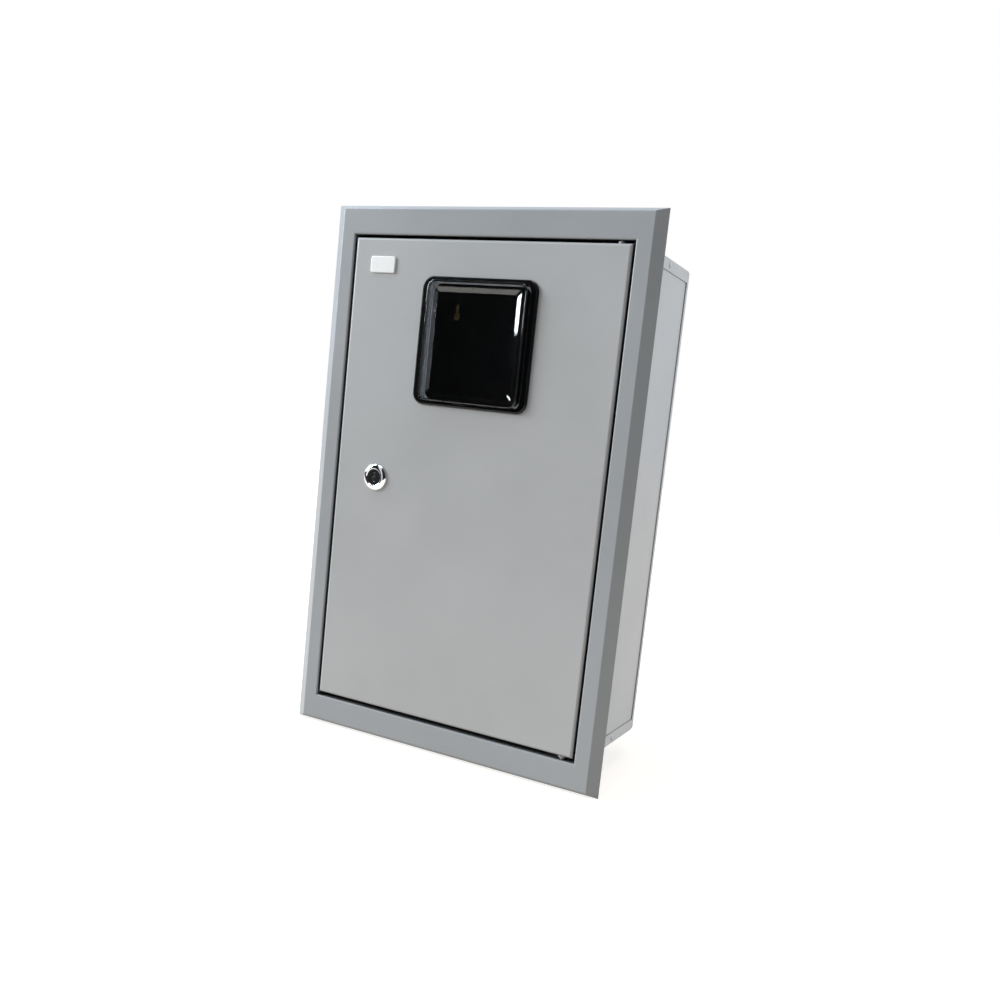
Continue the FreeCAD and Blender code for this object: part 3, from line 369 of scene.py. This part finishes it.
def dress_nodes():
    """Give each CAD node the material of its slot in the record, or its own."""
    makers = (powder_coat, shaded_frame_coat, shaded_pin_steel, zinc_steel, yellow_zinc, brass, chrome,
              black_rubber, grey_foam, clear_plastic, black_board, blue_plastic, white_plastic)
    made = {maker.__name__: maker() for maker in makers}
    for part in frame["record"]["subparts"]:
        mesh = frame["nodes"][part["node"]].data
        mesh.materials.clear()
        mesh.materials.append(made[OWN_MATERIALS.get(part["node"], part["material_slot"])])


def floor_material():
    """Diffuse surface that is lifted towards white where the camera, metal or glass see it."""
    made = Material("floor")
    path = made.node("ShaderNodeLightPath").outputs
    seen = made.largest(path["Is Camera Ray"], path["Is Glossy Ray"], path["Is Transmission Ray"])
    speck = made.noise(60, 2)
    lift = made.node("ShaderNodeMath", {0: seen, 1: FLOOR_LIFT}, operation="MULTIPLY").outputs[0]
    made.set(Base_Color=made.tones(speck, scaled(FLOOR_COLOUR, 0.995), FLOOR_COLOUR),
             Roughness=0.9,
             Specular_IOR_Level=0.0,
             Emission_Color=PLAIN_WHITE,
             Emission_Strength=lift)
    return made.made


def placed(name, data):
    """New object in the scene."""
    made = bpy.data.objects.new(name, data)
    bpy.context.scene.collection.objects.link(made)
    return made


def turned(angles):
    return Euler([math.radians(angle) for angle in angles])


def make_floor():
    """Pale floor just under the object."""
    low = cad_box[0][2] - FLOOR_DROP
    far = FLOOR_REACH
    corners = [(-far, FLOOR_FRONT, low), (far, FLOOR_FRONT, low), (far, far, low), (-far, far, low)]
    mesh = bpy.data.meshes.new("floor")
    mesh.from_pydata(corners, [], [(0, 1, 2, 3)])
    floor = placed("floor", mesh)
    mesh.materials.append(floor_material())


def make_world():
    """Even soft light. Gloss sees a dim front with a bright strip straight ahead and a white rear,
    glass sees bright light from the right and a white rear, and the camera sees plain white."""
    world = bpy.data.worlds.new("surroundings")
    bpy.context.scene.world = world
    world.use_nodes = True
    studio = Nodes(world.node_tree)
    light = studio.tree.nodes["Background"]
    path = studio.node("ShaderNodeLightPath").outputs
    way = studio.node("ShaderNodeTexCoord").outputs["Generated"]
    across, depth = studio.node("ShaderNodeSeparateXYZ", {0: way}).outputs[:2]

    def graded(front, rear):
        return studio.eased(depth, REAR_SPAN, front, rear)

    def chosen(flag, otherwise, then):
        return studio.mapped(flag, (0, 1), otherwise, then)

    aside = studio.node("ShaderNodeMath", {0: across}, operation="ABSOLUTE").outputs[0]
    ahead = studio.eased(aside, AHEAD_SPAN, AHEAD_GLOSS, FRONT_GLOSS)
    soft = graded(FRONT_LIGHT, REAR_LIGHT)
    mirrored = chosen(path["Is Glossy Ray"], soft, graded(ahead, BACKDROP))
    inner = studio.eased(across, INNER_SPAN, FRONT_GLOSS, INNER_LIGHT)
    strength = chosen(path["Is Transmission Ray"], mirrored, graded(inner, BACKDROP))
    colour = studio.mixed(path["Is Camera Ray"], SKY_TINT, PLAIN_WHITE)
    studio.put(light.inputs["Color"], colour)
    studio.put(light.inputs["Strength"], chosen(path["Is Camera Ray"], strength, BACKDROP))


def make_sun(name, strength, tint, angles, spread):
    data = bpy.data.lights.new(name, "SUN")
    data.energy = strength
    data.color = tint
    data.angle = math.radians(spread)
    placed(name, data).rotation_euler = turned(angles)


def make_lamp():
    """Near lamp at the upper left, almost level with the front, that catches the bevels."""
    data = bpy.data.lights.new("lamp", "AREA")
    data.energy = LAMP_WATTS
    data.color = LAMP_TINT
    data.size = LAMP_SIZE
    lamp = placed("lamp", data)
    lamp.location = LAMP_PLACE
    aim = Vector(LAMP_AIM) - Vector(LAMP_PLACE)
    lamp.rotation_euler = aim.to_track_quat("-Z", "Y").to_euler()


def make_camera():
    data = bpy.data.cameras.new("camera")
    data.sensor_width = CAMERA_SENSOR
    data.sensor_fit = "HORIZONTAL"
    data.lens = CAMERA_LENS
    data.shift_x, data.shift_y = CAMERA_SHIFT
    camera = placed("camera", data)
    camera.location = CAMERA_PLACE
    camera.rotation_euler = turned(CAMERA_ANGLES)
    bpy.context.scene.camera = camera


make_camera()
make_world()
make_floor()
make_sun("left_sun", *LEFT_SUN)
make_sun("right_sun", *RIGHT_SUN)
make_sun("top_sun", *TOP_SUN)
make_lamp()
dress_nodes()

bpy.context.scene.view_settings.view_transform = "Standard"
